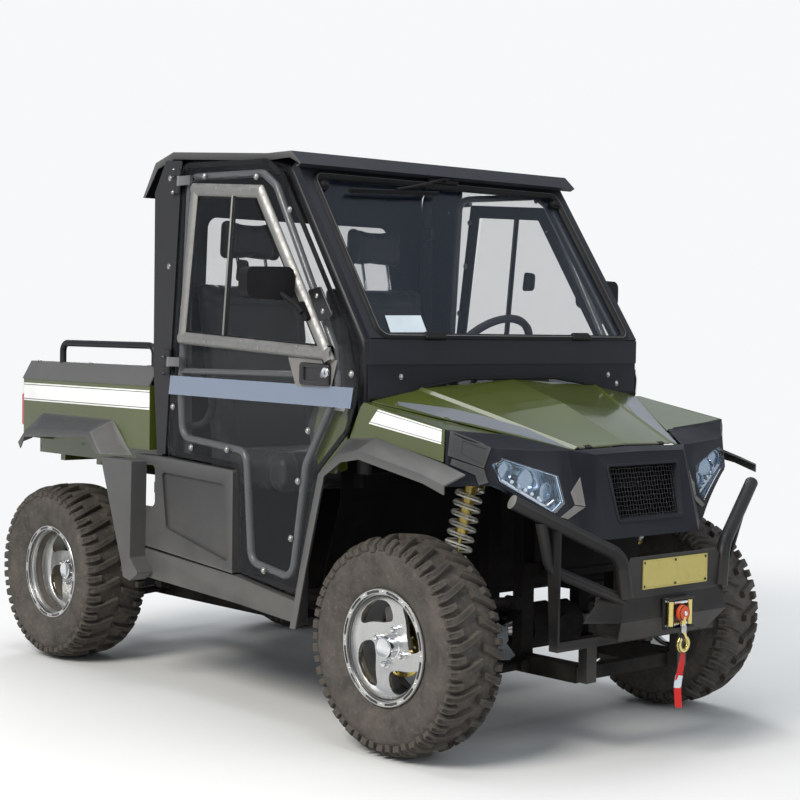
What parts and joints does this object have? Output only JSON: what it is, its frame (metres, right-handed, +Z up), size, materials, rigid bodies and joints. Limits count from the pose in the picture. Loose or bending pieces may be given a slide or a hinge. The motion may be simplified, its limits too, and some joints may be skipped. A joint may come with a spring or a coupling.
{
  "type": "side by side utv",
  "caption": "Two-seat off-road utility vehicle with a closed cab, hinged doors and hood, steered front wheels and a tipping cargo bed with a drop tailgate.",
  "frame": {"origin": "on the ground, under the middle of the bounding box", "axes": "+X forward, +Y to the left of the vehicle, +Z up"},
  "size_m": [2.747, 1.67, 1.79],
  "materials": {
    "frame_paint": "satin black",
    "cast": "as cast",
    "damper": "gold anodised",
    "spring": "gloss white",
    "shaft": "machined",
    "winch": "satin black",
    "strap": "woven webbing",
    "grey_plastic": "grained charcoal",
    "green_body": "gloss olive green",
    "green_steel": "gloss olive green",
    "nose_plastic": "grained blue-black",
    "grille": "black mesh",
    "reflector": "bright",
    "lens": "clear",
    "interior": "grained black",
    "seat": "black vinyl",
    "cab_paint": "satin black",
    "screen_glass": "tinted",
    "door_pane": "clear polycarbonate",
    "window_alloy": "anodised",
    "door_steel": "satin grey",
    "mirror_shell": "grained black",
    "lamp_red": "red lens",
    "tyre": "worn rubber",
    "alloy": "machined",
    "grip": "moulded"
  },
  "bodies": {
    "chassis": {"chassis_frame": "frame_paint", "frame_front": "frame_paint", "frame_rear": "frame_paint", "hitch": "frame_paint", "front_arms": "frame_paint", "rear_arms": "frame_paint", "front_bumper": "frame_paint", "drivetrain": "cast", "rear_uprights": "cast", "dampers": "damper", "springs": "spring", "half_shafts": "shaft", "winch": "winch", "winch_strap": "strap", "rocker_panels": "grey_plastic", "side_panels": "grey_plastic", "flare_legs": "grey_plastic", "front_flares": "grey_plastic", "front_fenders": "green_body", "nose": "nose_plastic", "grille": "grille", "headlamps": "reflector", "headlamp_lenses": "lens", "dash": "interior", "floor_pan": "interior", "seat_cushions": "seat", "seat_backs": "seat", "roll_cage": "cab_paint", "roof": "cab_paint", "screen_frame": "cab_paint", "rear_wall": "cab_paint", "door_hinges": "cab_paint", "cab_glass": "screen_glass"},
    "hood": {"hood": "green_body"},
    "bed": {"bed_box": "green_body", "bed_caps": "interior", "bed_rails": "cab_paint", "bed_flares": "grey_plastic", "tail_lamps": "lamp_red"},
    "tailgate": {"tailgate": "green_steel"},
    "steering_rack": {"steering_rack": "shaft"},
    "steering_wheel": {"steering_wheel": "grip"},
    "knuckle_left": {"knuckle_left": "cast"},
    "knuckle_right": {"knuckle_right": "cast"},
    "door_left": {"door_left_frame": "door_steel", "door_left_glass": "door_pane", "door_left_window": "window_alloy", "door_left_mirror": "mirror_shell"},
    "wheel_front_left": {"tyre_front_left": "tyre", "rim_front_left": "alloy"},
    "wheel_rear_left": {"tyre_rear_left": "tyre", "rim_rear_left": "alloy"},
    "door_right": {"door_right_frame": "door_steel", "door_right_glass": "door_pane", "door_right_window": "window_alloy", "door_right_mirror": "mirror_shell"},
    "wheel_front_right": {"tyre_front_right": "tyre", "rim_front_right": "alloy"},
    "wheel_rear_right": {"tyre_rear_right": "tyre", "rim_rear_right": "alloy"}
  },
  "joints": [
    {"name": "steer_left", "type": "hinge", "parent": "chassis", "child": "knuckle_left", "pos_m": [0.8385, 0.49, 0.3175], "axis": [0, 0, 1], "range_deg": [-28, 28]},
    {"name": "wheel_front_left", "type": "hinge", "parent": "knuckle_left", "child": "wheel_front_left", "pos_m": [0.8385, 0.588, 0.3175], "axis": [0, 1, 0], "continuous": true},
    {"name": "wheel_rear_left", "type": "hinge", "parent": "chassis", "child": "wheel_rear_left", "pos_m": [-1.0015, 0.542, 0.3175], "axis": [0, 1, 0], "continuous": true},
    {"name": "door_left_swing", "type": "hinge", "parent": "chassis", "child": "door_left", "pos_m": [-0.2635, 0.643, 1.1], "axis": [0.0828, 0, 0.9966], "range_deg": [0, 75]},
    {"name": "steer_right", "type": "hinge", "parent": "chassis", "child": "knuckle_right", "pos_m": [0.8385, -0.49, 0.3175], "axis": [0, 0, 1], "range_deg": [-28, 28]},
    {"name": "wheel_front_right", "type": "hinge", "parent": "knuckle_right", "child": "wheel_front_right", "pos_m": [0.8385, -0.588, 0.3175], "axis": [0, 1, 0], "continuous": true},
    {"name": "wheel_rear_right", "type": "hinge", "parent": "chassis", "child": "wheel_rear_right", "pos_m": [-1.0015, -0.542, 0.3175], "axis": [0, 1, 0], "continuous": true},
    {"name": "door_right_swing", "type": "hinge", "parent": "chassis", "child": "door_right", "pos_m": [-0.2635, -0.643, 1.1], "axis": [-0.0828, 0, -0.9966], "range_deg": [0, 75]},
    {"name": "rack_slide", "type": "slide", "parent": "chassis", "child": "steering_rack", "axis": [0, 1, 0], "range_m": [-0.048, 0.048]},
    {"name": "steering_wheel_turn", "type": "hinge", "parent": "chassis", "child": "steering_wheel", "pos_m": [0.2885, 0.285, 1.12], "axis": [-0.788, 0, 0.6157], "range_deg": [-340, 340]},
    {"name": "hood_lift", "type": "hinge", "parent": "chassis", "child": "hood", "pos_m": [1.1405, 0, 0.886], "axis": [0, 1, 0], "range_deg": [0, 55]},
    {"name": "bed_tip", "type": "hinge", "parent": "chassis", "child": "bed", "pos_m": [-1.1515, 0, 0.718], "axis": [0, -1, 0], "range_deg": [0, 40]},
    {"name": "tailgate_drop", "type": "hinge", "parent": "bed", "child": "tailgate", "pos_m": [-1.1915, 0, 0.762], "axis": [0, -1, 0], "range_deg": [0, 90]}
  ],
  "couplings": [
    {"joint": "steer_right", "follows": "steer_left", "ratio": 1},
    {"joint": "rack_slide", "follows": "steer_left", "m_per_rad": -0.0961},
    {"joint": "steering_wheel_turn", "follows": "steer_left", "ratio": 12}
  ]
}
